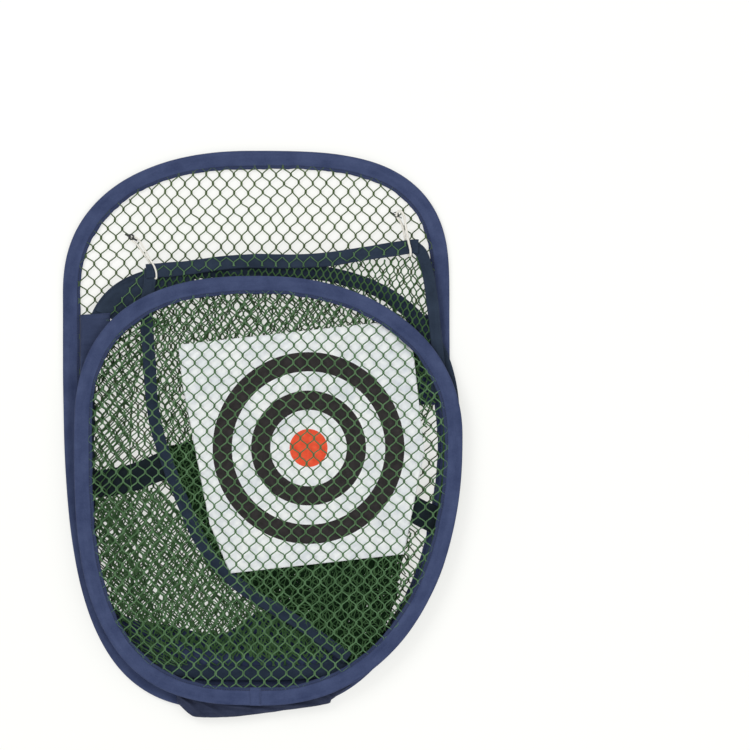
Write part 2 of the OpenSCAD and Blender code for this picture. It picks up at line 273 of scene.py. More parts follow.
def target_print():
    s = Shader("target_print")
    u, v = s.axis(s.cut, 0), s.axis(s.cut, 1)
    wobble = s.noise(s.cut, 260, 2) * 0.0006
    far = ((u * u + v * v).math("SQRT") + wobble) * (1 / (RING * MM))
    # Grey patches in the white are painted shade of the cloth's soft wrinkles, which the same noise also
    # bumps.
    cloth = s.noise(s.place, 24, 3) * 0.5 + s.noise(s.place, 85, 2) * 0.5
    weave = (u * (2 * math.pi / 0.0007)).wave() * (v * (2 * math.pi / 0.0007)).wave()
    white = s.ramp(cloth, (0.32, (0.68, 0.72, 0.76)), (0.62, (0.90, 0.915, 0.91)))
    ink = s.ramp(s.noise(s.place, 120, 3), (0.3, (0.017, 0.015, 0.015)), (0.75, (0.034, 0.03, 0.03)))
    dot = s.ramp(s.noise(s.place, 120, 2), (0.3, (0.80, 0.075, 0.03)), (0.75, (0.90, 0.12, 0.05)))
    inner = far.above(2.0) * (1 - far.above(3.0))
    outer = far.above(4.0) * (1 - far.above(5.0))
    s.set(Base_Color=s.mix(1 - far.above(1.0), s.mix(inner + outer, white, ink), dot), Roughness=0.75)
    s.set(**{"Specular IOR Level": 0.2})
    s.bump(cloth * 0.9 + weave * 0.06, 0.45, 0.0016)
    return s.material


def plain_thread(name, dark, light, ripple):
    s = Shader(name)
    y = s.axis(s.place, 1)
    ribs = (y * (2 * math.pi / (ripple * MM))).wave()
    s.set(Base_Color=s.ramp(s.noise(s.place, 300, 2) * 0.6 + ribs * 0.4, (0.25, dark), (0.75, light)))
    s.set(Roughness=0.7)
    s.bump(ribs, 0.5, 0.0003)
    return s.material


TARGET_PRINT = target_print()
ELASTIC = plain_thread("elastic_cord", (0.62, 0.59, 0.52), (0.88, 0.86, 0.8), 1.1)
KNOT_THREAD = plain_thread("knot_thread", (0.006, 0.008, 0.008), (0.03, 0.033, 0.03), 0.8)
SEAM_THREAD = plain_thread("seam_thread", (0.016, 0.022, 0.055), (0.03, 0.042, 0.09), 0.6)
print("threads:", *(m.name for m in (ELASTIC, KNOT_THREAD, SEAM_THREAD)))

# %% [markdown]
# ## The floor and the room
# The floor is white. Part of its surface glows for the camera's own rays, so shadows on it stay
# pale. The room is white to look at and dimmer as a light, so that the lamps give the shading.

# %% Floor and room
FLOOR_GLOW = 0.62
ROOM_LIGHT = 0.62
FLOOR_HALF, FLOOR_DROP = 6, 0.0004


def floor_white():
    """White cloth for a floor, which the camera sees mostly at its full white."""
    s = Shader("floor_white")
    s.set(Base_Color=(0.95, 0.95, 0.94, 1), Roughness=1.0)
    s.set(**{"Specular IOR Level": 0.0})
    path = s.add("ShaderNodeLightPath", {}, {})
    glow = s.add("ShaderNodeEmission", {}, {"Color": (0.96, 0.965, 0.93, 1), "Strength": 1.0})
    seen = path * FLOOR_GLOW
    both = s.add("ShaderNodeMixShader", {}, {0: seen, 1: s.surface.outputs[0], 2: glow})
    s.links.new(both.socket, s.nodes["Material Output"].inputs["Surface"])
    return s.material


def world_light():
    world = bpy.data.worlds.new("room")
    world.use_nodes = True
    nodes, links = world.node_tree.nodes, world.node_tree.links
    path = nodes.new("ShaderNodeLightPath")
    seen = nodes.new("ShaderNodeMath")
    seen.operation = "MAXIMUM"
    also = nodes.new("ShaderNodeMath")
    also.operation = "MAXIMUM"
    links.new(path.outputs["Is Camera Ray"], seen.inputs[0])
    links.new(path.outputs["Is Glossy Ray"], seen.inputs[1])
    links.new(seen.outputs[0], also.inputs[0])
    links.new(path.outputs["Is Transmission Ray"], also.inputs[1])
    level = nodes.new("ShaderNodeMapRange")
    level.inputs["To Min"].default_value = ROOM_LIGHT
    level.inputs["To Max"].default_value = 1.0
    links.new(also.outputs[0], level.inputs["Value"])
    links.new(level.outputs[0], nodes["Background"].inputs["Strength"])
    nodes["Background"].inputs["Color"].default_value = (1, 1, 1, 1)
    bpy.context.scene.world = world


world_light()
bm = bmesh.new()
bmesh.ops.create_grid(bm, x_segments=1, y_segments=1, size=FLOOR_HALF)
floor_mesh = bpy.data.meshes.new("floor")
bm.to_mesh(floor_mesh)
bm.free()
floor = bpy.data.objects.new("floor", floor_mesh)
floor_mesh.materials.append(floor_white())
floor.location.z = -FLOOR_DROP
bpy.context.collection.objects.link(floor)
print("materials:", len(bpy.data.materials))

# %% [markdown]
# ## Cloth from a grid
# Almost every piece here is a strip or a sheet. The easiest way to make one is to let bmesh create
# a flat grid with a UV map, and then to move each vertex to its place with a function of how far
# along and across the cloth it is. Where the strip closes on itself, the doubled vertices merge.


# %% Grid helper
def show_piece(name, mesh, material, body, nodes):
    """Puts a mesh in the scene, on the body that it rides and in place of the solids it stands for."""
    mesh.materials.clear()
    mesh.materials.append(material)
    for face in mesh.polygons:
        face.use_smooth = True
    piece = bpy.data.objects.new(name, mesh)
    bpy.context.collection.objects.link(piece)
    if body:
        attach(piece, body)
    if nodes:
        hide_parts(*nodes)
    print(name, len(mesh.polygons), "faces")
    return piece


def finish_piece(bm, name, material, body, nodes):
    mesh = bpy.data.meshes.new(name)
    bm.to_mesh(mesh)
    bm.free()
    return show_piece(name, mesh, material, body, nodes)


def cloth(name, material, body, nodes, along, across, place, cut, weld=False, thickness=0.0,
          shift=(0, 0)):
    """place(u, v) gives a point in mm for u and v from 0 to 1. cut is the cloth's length and width."""
    bm = bmesh.new()
    bmesh.ops.create_grid(bm, x_segments=along, y_segments=across, size=0.5, calc_uvs=True)
    uv = bm.loops.layers.uv.verify()
    for face in bm.faces:
        for loop in face.loops:
            u, v = loop.vert.co.x + 0.5, loop.vert.co.y + 0.5
            loop[uv].uv = mm((u - 0.5) * cut[0] + shift[0], (v - 0.5) * cut[1] + shift[1])
    for vert in bm.verts:
        vert.co = Vector(mm(*place(vert.co.x + 0.5, vert.co.y + 0.5)))
    if weld:
        bmesh.ops.remove_doubles(bm, verts=bm.verts, dist=0.00002)
    bmesh.ops.recalc_face_normals(bm, faces=bm.faces)
    piece = finish_piece(bm, name, material, body, nodes)
    if thickness:
        shell = piece.modifiers.new("cloth thickness", "SOLIDIFY")
        shell.thickness = thickness * MM
        shell.offset = 0
    return piece


def rough(x, y, z, size):
    """Smooth noise from -1 to 1 that changes over about size mm."""
    return noise.noise(Vector((x / size, y / size, z / size)))


def line_gap(x, y, x1, y1, x2, y2):
    """How far a point in mm is from a short line."""
    line = Vector((x2 - x1, y2 - y1))
    along = max(0.0, min(1.0, Vector((x - x1, y - y1)).dot(line) / line.length_squared))
    return (Vector((x, y)) - Vector((x1, y1)) - line * along).length


# %% [markdown]
# ## The hoops' outlines
# A sprung hoop that is laid flat is close to an oval, but each quarter of it is a little squarer or
# rounder than the next. Each is written as four quarters of a superellipse that share their ends.

# %% Hoop outlines
MIDDLE = (-0.5, 2.0)
SLEEVE_W, SLEEVE_T = 25.0, 7.0
HEM_W = 4.2
FRONT_Z, THIRD_Z = 21.1, 7.3
FRONT_HOOP = dict(x=0, y=0, left=254, right=271, top=214, bottom=369, n=(2.62, 2.1, 2.92, 2.21))
REAR_HOOP = dict(x=-5, y=199, left=267, right=258, top=194, bottom=577,
                 n=(2.38, 3.05, 3.55, 2.72), bow=17)
THIRD_HOOP = dict(x=8, y=8, left=257, right=262, top=227, bottom=346, n=(4.3, 2.48, 3.8, 2.6))
BOW_Y, BOW_HALF = -110, 165


def bow_at(hoop, y):
    """How far a hoop bows out on its right at a height, where it lies under the front sleeve."""
    return hoop.get("bow", 0) * math.exp(-(((y - BOW_Y) / BOW_HALF) ** 4))


def quarter(hoop, x, y):
    """The exponent of the quarter of a hoop that a direction from its middle points to."""
    return hoop["n"][(0 if x < 0 else 1) if y > 0 else (2 if x < 0 else 3)]


def on_hoop(hoop, turn):
    """A point of a hoop's centreline in mm, for a turn from 0 to 1 that starts at the right."""
    c, s = math.cos(turn * math.tau), math.sin(turn * math.tau)
    n = quarter(hoop, c, s)
    wide = hoop["left"] if c < 0 else hoop["right"]
    tall = hoop["top"] if s > 0 else hoop["bottom"]
    x = wide * math.copysign(abs(c) ** (2 / n), c)
    y = tall * math.copysign(abs(s) ** (2 / n), s)
    if c > 0:
        x += bow_at(hoop, hoop["y"] + y)
    return Vector((hoop["x"] + x - MIDDLE[0], hoop["y"] + y - MIDDLE[1]))


def even_turns(hoop, count):
    """Turns at which count points lie evenly along a hoop, because an oval's corners bunch up."""
    fine = [on_hoop(hoop, i / 3000) for i in range(3001)]
    far = [0.0]
    for a, b in zip(fine, fine[1:]):
        far.append(far[-1] + (b - a).length)
    turns, i = [], 0
    for k in range(count + 1):
        want = far[-1] * k / count
        while i < 2999 and far[i + 1] < want:
            i += 1
        turns.append((i + (want - far[i]) / max(far[i + 1] - far[i], 1e-9)) / 3000)
    return turns, far[-1]


class Loop:
    """A hoop's centreline as evenly spaced points, with the outward direction at each."""

    def __init__(self, hoop, count=540):
        turns, self.length = even_turns(hoop, count)
        self.count = count
        points = [on_hoop(hoop, t) for t in turns[:-1]]
        self.points = [(points[i - 1] + points[i] * 2 + points[(i + 1) % count]) / 4
                       for i in range(count)]
        self.out = []
        for i in range(count):
            step = self.points[(i + 1) % count] - self.points[i - 1]
            self.out.append(Vector((step.y, -step.x)).normalized())

    def at(self, u, out=0.0):
        place = (u % 1.0) * self.count
        i = int(place) % self.count
        j, f = (i + 1) % self.count, place - int(place)
        side = self.out[i].lerp(self.out[j], f).normalized()
        return self.points[i].lerp(self.points[j], f) + side * out


REAR, FRONT, THIRD = Loop(REAR_HOOP), Loop(FRONT_HOOP), Loop(THIRD_HOOP)
print("hoop lengths in mm:", *(round(h.length) for h in (REAR, FRONT, THIRD)))


def within(hoop, x, y, margin):
    """Whether a point in mm lies inside a hoop by at least the margin."""
    x, y = x + MIDDLE[0] - hoop["x"], y + MIDDLE[1] - hoop["y"]
    x -= bow_at(hoop, y + hoop["y"]) * max(0.0, min(1.0, x / 100))
    n = quarter(hoop, x, y)
    wide = (hoop["left"] if x < 0 else hoop["right"]) - margin
    tall = (hoop["top"] if y > 0 else hoop["bottom"]) - margin
    return (abs(x) / wide) ** n + (abs(y) / tall) ** n < 1


def hoop_x(hoop, y, side):
    """The x in mm at which a hoop's centreline crosses a height, on its left (-1) or right (1)."""
    up = y + MIDDLE[1] - hoop["y"]
    tall = hoop["top"] if up > 0 else hoop["bottom"]
    n = quarter(hoop, side, up)
    wide = hoop["left"] if side < 0 else hoop["right"] + bow_at(hoop, y + MIDDLE[1])
    return hoop["x"] + side * wide * max(0.0, 1 - (abs(up) / tall) ** n) ** (1 / n) - MIDDLE[0]


def hoop_y(hoop, x, side):
    """The y in mm at which a hoop's centreline crosses an x, at its bottom (-1) or top (1)."""
    away = x + MIDDLE[0] - hoop["x"]
    wide = hoop["left"] if away < 0 else hoop["right"]
    n = quarter(hoop, away, side)
    tall = hoop["top"] if side > 0 else hoop["bottom"]
    return hoop["y"] + side * tall * max(0.0, 1 - (abs(away) / wide) ** n) ** (1 / n) - MIDDLE[1]


# %% [markdown]
# ## Sleeves
# Each sleeve is a strip of cloth folded round the strip of spring steel and stitched along its
# inner side. It is full at the outer edge, where the steel runs, pinched at the row of stitches, and
# ends in a thin hem that puckers where the mesh pulls on it.


# %% Sleeves
def sleeve_height(a, half, tall):
    """Half the thickness at a mm outward of the middle: full over the steel, thin at the hem."""
    steel = 1 / (1 + math.exp(-(a - half * 0.34) / (half * 0.16)))
    stitched = half - HEM_W
    pinch = 1 - 0.55 * math.exp(-(((a + stitched) / 1.0) ** 2))
    return ((tall / 2 - 0.1) * steel + 1.25 * (1 - steel)) * pinch


PLEATS = [(193, -268, 176, -310), (206, -277, 180, -302), (-158, -342, -120, -365),
          (-150, -338, -70, -371), (-232, -270, -214, -292), (-276, -140, -268, -205)]


def pleat(x, y):
    """Grooves a mm or so deep along a few short lines, where the cloth is bunched."""
    deep = 0.0
    for ends in PLEATS:
        gap = line_gap(x, y, *ends)
        if gap < 12:
            deep += math.exp(-((gap / 1.9) ** 2)) - 0.5 * math.exp(-(((gap - 4.4) / 2.4) ** 2))
    return deep


def sleeve(name, loop, width, tall, z, body, nodes, seed, slack=0.0, material=None):
    half = width / 2

    def place(u, v):
        turn = v * math.tau
        side = math.cos(turn)
        a = half * side
        middle = loop.at(u)
        x, y = middle.x, middle.y
        if side < 0:
            pucker = rough(x, y, seed, 8) * 0.9 + rough(x, y, seed + 7, 27) * 1.5
            pucker += rough(x, y, seed + 3, 90) * slack
            a += pucker * side * side
        else:
            a += (0.7 + rough(x, y, seed + 11, 60) * 0.4) * side
        lift = rough(x + a, y - a, seed + 5, 24) * 0.5 + rough(x, y + a * 2, seed + 9, 8) * 0.2
        lift += rough(x * 0.3 + a * 2, y * 0.3 - a, seed + 13, 9) * 0.3
        calm = 1 - 0.9 * max(0.0, side)
        high = sleeve_height(a, half, tall) + max(0.0, lift) * calm * 0.8
        curve = 0.75 - 0.5 * max(0.0, side)
        point = loop.at(u, a)
        high = max(high - 1.5 * pleat(point.x, point.y) * (1 - side ** 4), 0.5)
        up = math.copysign(abs(math.sin(turn)) ** curve, math.sin(turn)) * high
        return point.x, point.y, z + tall / 2 + min(max(up, -tall / 2), tall / 2)

    cut = (loop.length, width * 2)
    return cloth(name, material or SLEEVE_CLOTH, body, nodes, loop.count, 24, place, cut, weld=True)


rear_sleeve = sleeve("rear_sleeve_cloth", REAR, SLEEVE_W, SLEEVE_T, 0, "rear_panel",
                     ["rear_sleeve"], 10, 1.4)
front_sleeve = sleeve("front_sleeve_cloth", FRONT, SLEEVE_W, SLEEVE_T, FRONT_Z, "front_panel",
                      ["front_sleeve"], 40, 1.0)
third_sleeve = sleeve("third_sleeve_cloth", THIRD, 20.0, 4.7, THIRD_Z, "rear_panel",
                      ["third_sleeve"], 70, material=BAND_CLOTH)

# %% [markdown]
# ## Stitches
# A stitch is a short bead of thread that dips into the cloth at both ends. One small sphere with a
# few faces, drawn out long and turned along the seam, is enough for each.


# %% Stitch rows
STITCH_LONG = 2.6


def stitches(name, spots, body, thick=0.7):
    """spots are (x, y, z, direction in radians) in mm."""
    bm = bmesh.new()
    for x, y, z, turn in spots:
        where = Matrix.Translation(mm(x, y, z)) @ Matrix.Rotation(turn, 4, "Z")
        where = where @ Matrix.Diagonal((STITCH_LONG / 2 * MM, thick / 2 * MM, thick / 2 * MM, 1))
        bmesh.ops.create_uvsphere(bm, u_segments=6, v_segments=4, radius=1, matrix=where)
    piece = finish_piece(bm, name, SEAM_THREAD, body, [])


def seam_spots(loop, out, z, step=3.6):
    spots = []
    count = int(loop.length / step)
    for i in range(count):
        u = i / count
        a, b = loop.at(u, out), loop.at(u + 0.0005, out)
        spots.append((a.x, a.y, z, math.atan2(b.y - a.y, b.x - a.x)))
    return spots


STITCH_OUT = -SLEEVE_W / 2 + HEM_W
for name, loop, z, body in (("rear_stitches", REAR, 0, "rear_panel"),
                            ("front_stitches", FRONT, FRONT_Z, "front_panel")):
    stitches(name, seam_spots(loop, STITCH_OUT, z + SLEEVE_T / 2 + 0.75), body)

# %% [markdown]
# ## Knotless mesh
# The mesh is made of zigzag strands. Each one leans over to its left neighbour, runs beside it for
# a few millimetres, where the two are twisted together, and then leans over to its right one. A
# curve with many short straight splines gives all the strands at once, and becomes a mesh.


# %% Net helper
NET_STEPS = ((0.0, 0.0), (0.16, 0.1), (0.84, 0.9))


def flatten_rings(mesh, share=0.04):
    """Press each four-sided ring of a strand level, so that a net that is pulled out stays thin."""
    for i in range(0, len(mesh.vertices) - 3, 4):
        ring = [mesh.vertices[i + k] for k in range(4)]
        middle = sum(v.co.z for v in ring) / 4
        for v in ring:
            v.co.z = middle + (v.co.z - middle) * share


def mesh_of(curve):
    """The mesh that a curve's bevel gives."""
    holder = bpy.data.objects.new(curve.name, curve)
    bpy.context.collection.objects.link(holder)
    mesh = bpy.data.meshes.new_from_object(holder.evaluated_get(bpy.context.evaluated_depsgraph_get()))
    bpy.data.objects.remove(holder)
    mesh.name = curve.name
    return mesh


def net(name, material, body, nodes, area, pitch, row, joint, thick, keep, place, wander=1.0,
        seed=0.0, flat=False):
    """area is (left, bottom, right, top) of the flat net in mm, keep(x, y) says where twine shows,
    and place(x, y) gives the point in mm that a point of the flat net lies at."""
    curve = bpy.data.curves.new(name, "CURVE")
    curve.dimensions = "3D"
    curve.bevel_depth = thick / 2 * MM
    curve.bevel_resolution = 0
    curve.use_fill_caps = True
    left, bottom, right, top = area
    strands, rows = int((right - left) / (pitch / 2)), int((top - bottom) / row)
    beside = thick * 0.42

    def run(points):
        if len(points) < 2:
            return
        spline = curve.splines.new("POLY")
        spline.points.add(len(points) - 1)
        spline.points.foreach_set("co", [c for p in points for c in (*mm(*p), 1)])

    def advance(points, x, y, seed):
        px = x + wander * (rough(x, y, seed, 24) * 1.7 + rough(x, y, seed + 5, 120) * 5)
        py = y + wander * (rough(x, y, seed + 9, 24) * 1.7 + rough(x, y, seed + 2, 120) * 4)
        spot = place(px, py) if keep(px, py) else None
        if spot:
            points.append(spot)
            return points
        run(points)
        return []

    apart = row - joint
    for k in range(strands + 1):
        points = []
        for j in range(rows + 1):
            lean = 1 if (j + k) % 2 == 0 else -1
            reach = pitch / 4 - beside
            for step, share in NET_STEPS:
                x = left + k * pitch / 2 + lean * reach * (1 - 2 * share)
                y = bottom + j * row + joint / 2 + step * apart
                if step == 0.0:
                    points = advance(points, x, y - joint, seed)
                points = advance(points, x, y, seed)
        run(points)
    mesh = mesh_of(curve)
    if flat:
        flatten_rings(mesh)
    piece = show_piece(name, mesh, material, body, nodes)
    return piece


# %% [markdown]
# ## The two big nets
# The rear net is stretched evenly over the tall hoop, and the front net over the shorter one. Both
# end inside their sleeve's hem.

# %% Rear and front nets
PITCH, ROW = 20.0, 12.8
TWINE = 1.8
HEM_IN = SLEEVE_W / 2 - 7.5
REAR_AREA = (-275, -385, 275, 400)
net("rear_net_twine", NET_BACK_SHADED, "rear_panel", ["rear_net"], REAR_AREA, PITCH, ROW, 4.6, TWINE,
    lambda x, y: within(REAR_HOOP, x, y, HEM_IN),
    lambda x, y: (x, y, 3.6 + 0.5 * rough(x, y, 1, 70)), 1.4, 3)
net("front_net_twine", NET_FRONT_LIT, "front_panel", ["front_net"], (-262, -375, 275, 216), PITCH, 11.9,
    4.4, TWINE, lambda x, y: within(FRONT_HOOP, x, y, HEM_IN),
    lambda x, y: (x, y, FRONT_Z + 3.5 + 0.4 * rough(x, y, 2, 70)), 0.8, 17)

# %% [markdown]
# ## Tapes
# The pocket's band and straps are folded tape with a stitched edge on each side. A route of a few
# points, smoothed by a Catmull-Rom spline, is laid through the places where the tape lies.


# %% Tape helper
def smooth_route(points, u):
    n = len(points) - 1
    place = min(max(u, 0.0), 1.0) * n
    i = min(int(place), n - 1)
    f = place - i
    p = [Vector(points[min(max(i + k, 0), n)]) for k in (-1, 0, 1, 2)]
    return 0.5 * (2 * p[1] + (p[2] - p[0]) * f + (2 * p[0] - 5 * p[1] + 4 * p[2] - p[3]) * f * f
                  + (3 * p[1] - p[0] - 3 * p[2] + p[3]) * f * f * f)


def route_length(points):
    spots = [smooth_route(points, i / 60) for i in range(61)]
    return sum((b - a).length for a, b in zip(spots, spots[1:]))


def tape(name, points, width, thick, body, nodes, seed, material=None, wave=0.8, rumple=0.0):
    length = route_length(points)
    half = width / 2

    def place(u, v):
        turn = v * math.tau
        here = smooth_route(points, u)
        step = smooth_route(points, min(u + 0.004, 1)) - smooth_route(points, max(u - 0.004, 0))
        side = Vector((step.y, -step.x, 0)).normalized()
        a = half * math.cos(turn)
        a += math.cos(turn) * wave * rough(here.x, here.y, seed, 24)
        edge = abs(math.cos(turn)) ** 6
        rib = 1 + 0.25 * edge - 0.35 * math.exp(-(((abs(a) - half + 3.0) / 0.9) ** 2))
        up = math.copysign(abs(math.sin(turn)) ** 0.55, math.sin(turn)) * thick / 2 * rib
        spot = here + side * a
        lift = rough(spot.x, spot.y, seed + 4, 30) * 0.5
        lift += rough(spot.x, spot.y, seed + 6, 11) * (0.18 + rumple)
        return spot.x, spot.y, spot.z + up + lift

    count = max(24, int(length / 3.2))
    cut = (length, width * 2)
    piece = cloth(name, material or BAND_CLOTH, body, nodes, count, 20, place, cut, weld=True)
    bm = bmesh.new()
    bm.from_mesh(piece.data)
    open_edges = [e for e in bm.edges if e.is_boundary]
    if open_edges:
        bmesh.ops.holes_fill(bm, edges=open_edges, sides=0)
        bmesh.ops.recalc_face_normals(bm, faces=bm.faces)
    bm.to_mesh(piece.data)
    bm.free()
    for face in piece.data.polygons:
        face.use_smooth = True
    print(name, round(length), "mm long")


# %% [markdown]
# ## The catch pocket
# The band crosses the net from one elastic loop to the other, and a strap runs down from each end.
# The left one lies in a long slack curve to the bottom of the pocket.

# %% Band and straps
BAND_Z = 16.8
band_route = [(-165, 232, BAND_Z), (-150, 233, BAND_Z), (-108, 236.5, BAND_Z), (-62, 243, BAND_Z),
              (-18, 246.5, BAND_Z), (40, 246, BAND_Z), (90, 248.5, BAND_Z), (130, 254.5, BAND_Z),
              (175, 261.5, BAND_Z), (212, 267, BAND_Z), (222, 267, BAND_Z)]
left_route = [(-158, 236, BAND_Z - 2), (-160, 215, BAND_Z - 1.6), (-164, 180, BAND_Z - 0.8),
              (-163, 140, BAND_Z), (-160, 100, BAND_Z), (-157, 50, BAND_Z), (-149, 5, BAND_Z),
              (-134, -42, BAND_Z),
              (-113, -95, BAND_Z), (-88, -150, BAND_Z), (-60, -190, BAND_Z), (-22, -222, BAND_Z),
              (14, -245, BAND_Z), (52, -268, BAND_Z), (92, -296, BAND_Z), (122, -318, BAND_Z)]
right_route = [(212, 269, BAND_Z - 2), (226, 258, BAND_Z - 1.6), (235, 232, BAND_Z - 0.8),
               (241, 195, BAND_Z), (246, 150, BAND_Z), (250, 110, BAND_Z), (250, 78, BAND_Z),
               (248, 56, BAND_Z)]
tape("top_band_tape", band_route, 20, 2.2, "pocket", ["top_band"], 5, rumple=0.25)
tape("left_strap_tape", left_route, 18, 2.0, "pocket", ["left_strap"], 15, rumple=0.2)
tape("right_strap_tape", right_route, 17, 2.0, "pocket", ["right_strap"], 25, rumple=0.2)

# %% [markdown]
# ## The inner mesh
# The third hoop's net and the pocket's net lie slack on each other. Slack mesh closes up, so these
# are the same net, squeezed and slanted, and the light only comes through here and there.

# %% Third net and pocket net
def slant(angle, squeeze, z, ripple, seed, shorten=1.0, swirl=7.0):
    c, s = math.cos(math.radians(angle)), math.sin(math.radians(angle))

    def place(x, y):
        a, b = x * squeeze, y * shorten
        px, py = a * c - b * s, a * s + b * c
        px += swirl * rough(px, py, seed, 60)
        py += swirl * rough(px, py, seed + 3, 60)
        return px, py, z + ripple * rough(px, py, seed + 6, 40)

    return place


def inside(x, y, corners):
    """Whether a point lies inside a polygon."""
    odd = False
    for (x1, y1), (x2, y2) in zip(corners, corners[1:] + corners[:1]):
        if (y1 > y) != (y2 > y) and x < x1 + (x2 - x1) * (y - y1) / (y2 - y1):
            odd = not odd
    return odd


third_place = slant(5, 0.82, THIRD_Z + 1.4, 0.6, 31, 0.95, 2.5)


def in_third(x, y):
    """The slack net hangs clear of the third hoop on its lower right."""
    return within(THIRD_HOOP, x, y, 6) and (x < 212 or y > 90)


net("third_net_twine", NET_DEEP_SHADED, "rear_panel", ["third_net"], (-420, -420, 420, 330), PITCH, ROW, 5,
    TWINE, lambda x, y: in_third(*third_place(x, y)[:2]), third_place, 0.25, 23)

STRAP_LINE = [(-165, 235), (-164, 180), (-162, 120), (-157, 50), (-146, -5), (-127, -65),
              (-92, -145), (-48, -200), (12, -243), (70, -282), (122, -318)]
POCKET_AREA = STRAP_LINE + [(152, -318), (185, -276), (200, -215), (213, -160), (218, 60),
                            (246, 100), (240, 190), (224, 255), (120, 246), (20, 238), (-110, 230)]
pocket_place = slant(-7, 0.5, 15.2, 0.5, 41, 0.76, 3)
net("pocket_net_twine", NET_DEEP_SHADED, "pocket", ["pocket_net"], (-640, -420, 640, 420), PITCH, ROW, 5,
    TWINE, lambda x, y: inside(*pocket_place(x, y)[:2], POCKET_AREA), pocket_place, 0.3, 29)

# %% [markdown]
# The pocket's mesh is sewn over the face of its band, so strands cross the tape too. They carry on
# the rear net's pattern, which they lie on when the net is folded.

# %% Mesh over the band
def on_band(x, y):
    if not -150 < x < 206:
        return False
    near = min(((Vector((a[0], a[1])) - Vector((x, y))).length for a in BAND_SPOTS))
    return near < 10.5


BAND_SPOTS = [smooth_route(band_route, i / 120) for i in range(121)]
net("band_net_twine", NET_FRONT_LIT, "pocket", [], REAR_AREA, PITCH, ROW, 4.6, 1.3,
    lambda x, y: 215 < y < 285 and on_band(x, y),
    lambda x, y: (x, y, BAND_Z + 2.1 + 0.3 * rough(x, y, 8, 30)), 1.4, 3)

# %% [markdown]
# At the upper left, dark cloth fills the corner between the third hoop and the front one. The
# strands that cross it carry on the rear net's pattern too.

# %% Upper corner
def corner_place(u, v):
    spot = THIRD.at(0.272 + 0.083 * u, 8.0 - 42 * v)
    return spot.x, spot.y, THIRD_Z + 5.2 - 1.2 * v + 0.3 * rough(spot.x, spot.y, 51, 20)


corner_cloth = cloth("third_corner_cloth", BAND_CLOTH, "rear_panel", [], 70, 20, corner_place,
                     (150, 42), thickness=0.6)
CORNER = [(-232, 160), (-212, 196), (-172, 236), (-150, 244), (-146, 212), (-176, 190), (-206, 160)]
net("corner_net_twine", NET_FRONT_LIT, "rear_panel", [], REAR_AREA, PITCH, ROW, 4.6, 1.3,
    lambda x, y: inside(x, y, CORNER), lambda x, y: (x, y, THIRD_Z + 6.4), 1.4, 3)

# %% [markdown]
# The pocket's lower half is a bag of slack net. Folded flat, its layers bunch up under the target,
# and nothing shows between them but shade. Small wavy cells on top, and two close layers of
# near-black twine below that are painted shade, give that.

# %% Bunched net
BAG_AREA = [(-142, -19), (-88, -7), (100, -20), (214, -110), (200, -168), (190, -230), (172, -282),
            (146, -318), (128, -326)] + STRAP_LINE[:4:-1]
BAG_LAYERS = [(NET_PAINTED_SHADE, 14.3, 8, 0.3, 0.42, 4.2, 10), (NET_PAINTED_SHADE, 15.0, -38, 0.36, 0.42, 4.0, 12),
              (NET_DEEP_SHADED, 16.6, 30, 0.68, 0.8, 1.5, 16), (NET_DEEP_SHADED, 17.2, -12, 0.6, 0.82, 1.5, 18)]
for k, (yarn, z, angle, squeeze, shorten, thick, swirl) in enumerate(BAG_LAYERS):
    bag_place = slant(angle, squeeze, z, 0.5, 130 + k * 20, shorten, swirl)
    net(f"bag_net_{k + 1}", yarn, "pocket", [], (-700, -900, 920, 480), PITCH, ROW, 4, thick,
        lambda x, y: inside(*bag_place(x, y)[:2], BAG_AREA), bag_place, 1.2, 140 + k)

# %% [markdown]
# Left of the strap, the slack part of the third hoop's net lies folded over itself. Light still
# comes through it, in slanting rows of small gaps.

# %% Folded net on the left
FOLD_AREA = [(-240, -88), (-160, -72), (-128, -93), (-91, -157), (-45, -207), (13, -249), (68, -288),
             (90, -318), (-31, -318), (-138, -295), (-216, -235)]
FOLD_LAYERS = [(10.9, 14, 0.62, 0.86), (11.6, -6, 0.66, 0.86), (12.2, 5, 0.6, 0.8)]
for k, (z, angle, squeeze, shorten) in enumerate(FOLD_LAYERS):
    fold_place = slant(angle, squeeze, z, 0.4, 230 + k * 20, shorten, 3)
    net(f"folded_net_{k + 1}", NET_DEEP_SHADED, "rear_panel", [], (-560, -620, 560, 620), PITCH, ROW, 5, TWINE,
        lambda x, y: inside(*fold_place(x, y)[:2], FOLD_AREA), fold_place, 0.25, 240 + k)

# %% [markdown]
# Right of the target, the end of the slack net is bunched into a dense tongue beside the wall, its
# twine darkened with painted shade.

# %% Bunched net on the right
TONGUE = [(209, 132), (224, 116), (241, 80), (250, 52), (240, 32), (231, -8), (224, 46)]
tongue_place = slant(12, 0.42, 13.4, 0.4, 291, 0.6, 4)
net("tongue_net", NET_DEEP_SHADED, "rear_panel", [], (0, -260, 760, 420), PITCH, ROW, 4, 2.2,
    lambda x, y: inside(*tongue_place(x, y)[:2], TONGUE), tongue_place, 0.6, 300)

# %% [markdown]
# ## The target
# The target is a square of white cloth with its print. Its edges are turned under where it curls,
# so it is a flat sheet that is mirrored behind itself past each fold line, with a small roll there.

# %% Target sheet
RING_MIDDLE = (66.0, -19.2)
TARGET_SIDE = 331
TARGET_SHIFT = (-2.5, 0.7)
TARGET_TURN = math.radians(6.3)
TARGET_Z = 18.6
FOLD_ROLL = 0.6
FOLDS = [((-123.6, 127), (-74, -128.5), 1), ((-80, -112), (-45.5, -196.7), 1),
         ((223, -60), (200.5, -172.5), -1), ((203, 164), (217, 106), -1)]


